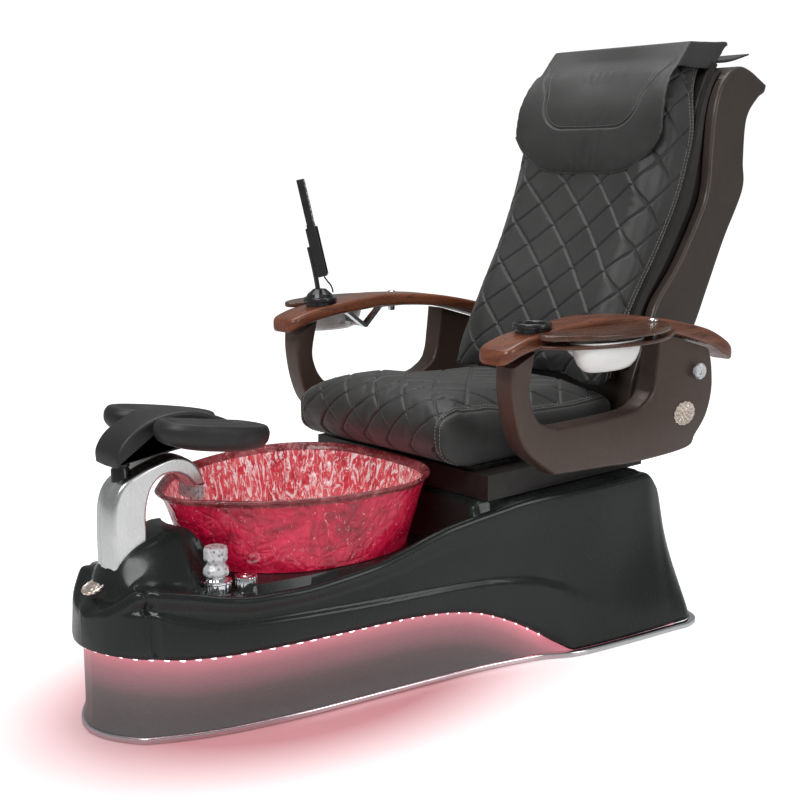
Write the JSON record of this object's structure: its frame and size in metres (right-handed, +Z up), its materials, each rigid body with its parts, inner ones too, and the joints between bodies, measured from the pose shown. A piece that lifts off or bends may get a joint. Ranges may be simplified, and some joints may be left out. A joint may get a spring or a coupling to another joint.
{
  "type": "pedicure spa chair",
  "caption": "Pedicure spa chair: reclining quilted massage seat with wooden arms and swivel trays on a fibreglass foot-bath base with a glass basin, footrest and lit skirt.",
  "frame": {"origin": "centre of the footprint, on the floor", "axes": "+Z up; the sitter faces -Y; +X is the sitter's left"},
  "size_m": [1.0352, 1.82, 1.378],
  "materials": {
    "fibreglass": "gloss fibreglass gel coat",
    "chrome": "polished",
    "satin_metal": "satin",
    "steel": "mill finish",
    "ruby_glass": "crackled, translucent, pale rim",
    "crystal": "faceted, clear",
    "leather": "soft matte synthetic leather, quilted and top-stitched",
    "rubber": "matte moulded foam skin",
    "black_plastic": "satin moulding",
    "brown_paint": "satin bronze-brown",
    "back_plastic": "satin dark brown moulding",
    "cherry_wood": "gloss lacquered cherry",
    "walnut_wood": "gloss lacquered walnut",
    "ceramic": "white glazed",
    "grey_panel": "satin grey",
    "led": "lit rose strip",
    "champagne": null,
    "white_plastic": "plain"
  },
  "bodies": {
    "base": {"base_shell": "fibreglass", "nose_plate": "champagne", "floor_trim": "chrome", "skirt": "grey_panel", "led_strip": "led", "basin": "ruby_glass", "drain_flange": "chrome", "drain_pipe": "white_plastic", "drain_pump": "black_plastic", "chassis": "steel", "power_supply": "black_plastic", "spout_pillar": "satin_metal", "valve_collar": "chrome", "button_bezel": "chrome", "footrest_post": "black_plastic", "slide_rails": "steel"},
    "seat": {"slide_runners": "steel", "seat_box": "brown_paint", "seat_frame": "steel", "seat_cushion": "leather", "recline_actuator": "black_plastic", "hinge_bracket": "steel", "hinge_shaft": "steel", "arm_top_left": "cherry_wood", "arm_top_right": "cherry_wood", "arm_panel_left": "brown_paint", "arm_panel_right": "brown_paint", "cup_holder_left": "black_plastic", "cup_holder_right": "black_plastic", "tray_plate_left": "walnut_wood", "tray_plate_right": "walnut_wood", "manicure_bowl_left": "ceramic", "manicure_bowl_right": "ceramic", "tray_pin_left": "chrome", "tray_pin_right": "chrome", "tray_strut_left": "chrome", "tray_strut_right": "chrome", "arm_badge": "champagne"},
    "backrest": {"back_pad": "leather", "head_pillow": "leather", "back_board": "back_plastic", "back_shell": "back_plastic", "back_frame": "steel"},
    "massage_carriage": {"massage_carriage": "black_plastic"},
    "massage_rollers": {"massage_rollers": "rubber"},
    "tray_lid_left": {"tray_lid_left": "walnut_wood"},
    "tray_lid_right": {"tray_lid_right": "walnut_wood"},
    "remote_holder": {"remote_holder": "black_plastic", "remote_cable": "rubber"},
    "remote": {"remote": "black_plastic", "remote_keypad": "grey_panel"},
    "arm_knob": {"arm_knob": "crystal"},
    "footrest_swivel": {"footrest_swivel": "black_plastic"},
    "foot_pads": {"footrest_saddle": "rubber", "footrest_pad_left": "rubber", "footrest_pad_right": "rubber"},
    "valve_knob": {"valve_knob": "crystal"},
    "jet_button": {"jet_button": "chrome"},
    "drain_stopper": {"drain_stopper": "chrome"}
  },
  "joints": [
    {"name": "seat_slide", "type": "slide", "parent": "base", "child": "seat", "axis": [0, 1, 0], "range_m": [0, 0.15]},
    {"name": "recline", "type": "hinge", "parent": "seat", "child": "backrest", "pos_m": [0, 0.445, 0.5], "axis": [-1, 0, 0], "range_deg": [0, 36]},
    {"name": "massage_travel", "type": "slide", "parent": "backrest", "child": "massage_carriage", "axis": [0, 0.4135, 0.9105], "range_m": [0, 0.33]},
    {"name": "massage_roll", "type": "hinge", "parent": "massage_carriage", "child": "massage_rollers", "pos_m": [0, 0.5461, 0.8076], "axis": [1, 0, 0], "continuous": true},
    {"name": "tray_swing_left", "type": "hinge", "parent": "seat", "child": "tray_lid_left", "pos_m": [0.428, 0.246, 0.736], "axis": [0, 0, 1], "range_deg": [0, 100]},
    {"name": "tray_swing_right", "type": "hinge", "parent": "seat", "child": "tray_lid_right", "pos_m": [-0.428, 0.246, 0.736], "axis": [0, 0, -1], "range_deg": [0, 100]},
    {"name": "remote_swivel", "type": "hinge", "parent": "seat", "child": "remote_holder", "pos_m": [-0.351, -0.056, 0.76], "axis": [0, 0, 1], "range_deg": [-60, 60]},
    {"name": "remote_lift", "type": "slide", "parent": "remote_holder", "child": "remote", "axis": [-0.145, -0.1629, 0.9759], "range_m": [0, 0.05]},
    {"name": "arm_knob_turn", "type": "hinge", "parent": "seat", "child": "arm_knob", "pos_m": [0.397, 0.47, 0.607], "axis": [1, 0, 0], "range_deg": [-135, 135]},
    {"name": "footrest_swivel", "type": "hinge", "parent": "base", "child": "footrest_swivel", "pos_m": [0, -0.815, 0.519], "axis": [0, 0, 1], "range_deg": [-20, 20]},
    {"name": "footrest_tilt", "type": "hinge", "parent": "footrest_swivel", "child": "foot_pads", "pos_m": [0, -0.815, 0.536], "axis": [1, 0, 0], "range_deg": [-6, 14]},
    {"name": "valve_turn", "type": "hinge", "parent": "base", "child": "valve_knob", "pos_m": [0.123, -0.687, 0.32], "axis": [0, 0, 1], "range_deg": [-90, 90]},
    {"name": "jet_button_press", "type": "slide", "parent": "base", "child": "jet_button", "axis": [0, 0, -1], "range_m": [0, 0.003], "stiffness_N_per_m": 600, "springref_m": -0.001},
    {"name": "stopper_lift", "type": "slide", "parent": "base", "child": "drain_stopper", "axis": [0, 0, 1], "range_m": [0, 0.014]}
  ]
}
